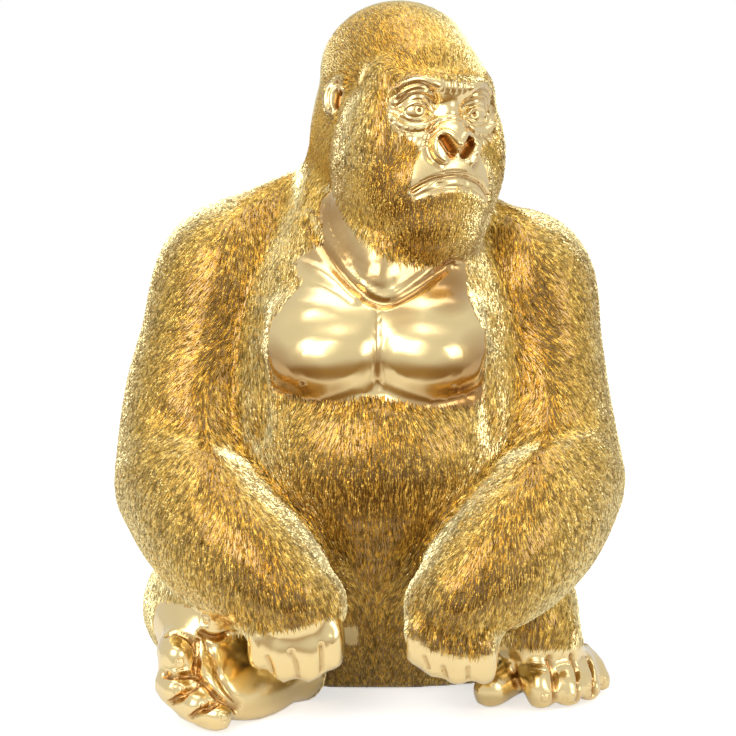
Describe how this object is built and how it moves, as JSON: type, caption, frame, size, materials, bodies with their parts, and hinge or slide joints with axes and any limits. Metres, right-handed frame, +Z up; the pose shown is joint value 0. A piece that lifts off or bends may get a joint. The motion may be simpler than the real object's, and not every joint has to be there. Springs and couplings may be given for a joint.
{
  "type": "gorilla figurine",
  "caption": "Seated gorilla figurine in gold-finished resin, head turned to one side, arms hanging in front, carved fur and smooth face, chest, hands and feet.",
  "frame": {"origin": "middle of the base, on the surface the figure sits on", "axes": "+Z up, -Y towards the front of the seated body, +X towards the figure's left hand"},
  "size_m": [0.2926, 0.2324, 0.3996],
  "materials": {
    "gold_finish": "satin metallic gold paint on cast resin, darker in the carved fur"
  },
  "bodies": {
    "root": {"gorilla": "gold_finish"}
  },
  "joints": []
}
